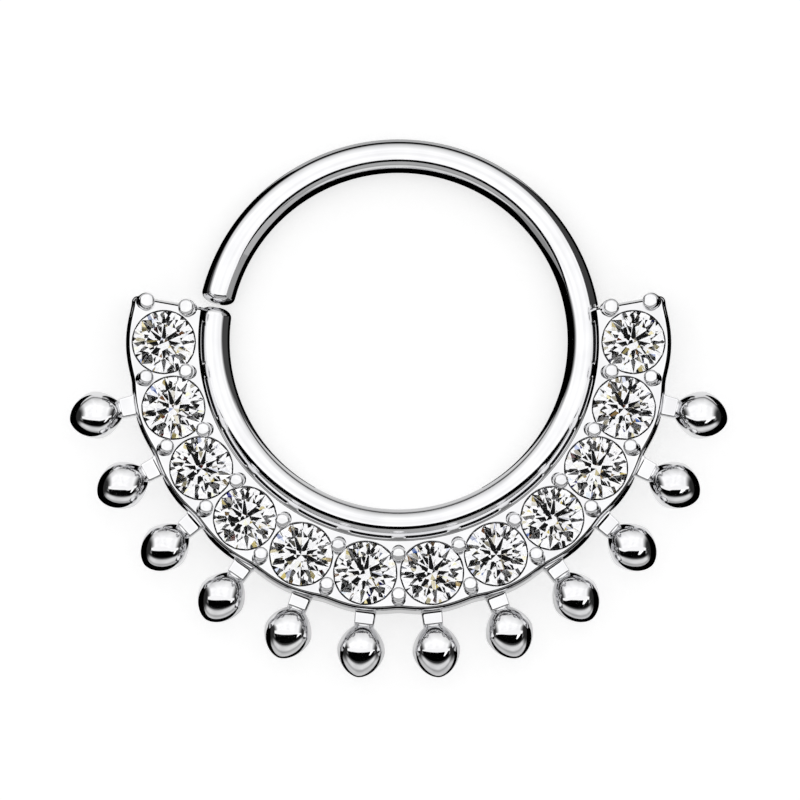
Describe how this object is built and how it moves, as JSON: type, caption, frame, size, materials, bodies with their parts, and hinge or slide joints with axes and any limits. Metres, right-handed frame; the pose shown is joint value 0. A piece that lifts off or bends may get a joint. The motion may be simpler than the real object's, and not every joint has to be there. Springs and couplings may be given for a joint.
{
  "type": "bendable hoop ring",
  "caption": "Round wire hoop with one cut, a curved plate of set round stones on its lower half and a fringe of small polished drops, worn in a piercing.",
  "frame": {"origin": "on the hoop's axis, in the plane that the ring rests on", "axes": "+Z along the hoop's axis, out of the stones' side; +Y from the crescent to the plain arc of the wire; +X to the right, seen from the stones' side"},
  "size_m": [0.0194, 0.016, 0.0017],
  "materials": {
    "polished_metal": "mirror polished, silver-coloured plating",
    "clear_stone": "clear, cut with facets and polished"
  },
  "bodies": {
    "root": {"hoop_and_setting": "polished_metal", "stone_01": "clear_stone", "stone_02": "clear_stone", "stone_03": "clear_stone", "stone_04": "clear_stone", "stone_05": "clear_stone", "stone_06": "clear_stone", "stone_07": "clear_stone", "stone_08": "clear_stone", "stone_09": "clear_stone", "stone_10": "clear_stone", "stone_11": "clear_stone", "stone_12": "clear_stone"}
  },
  "joints": []
}
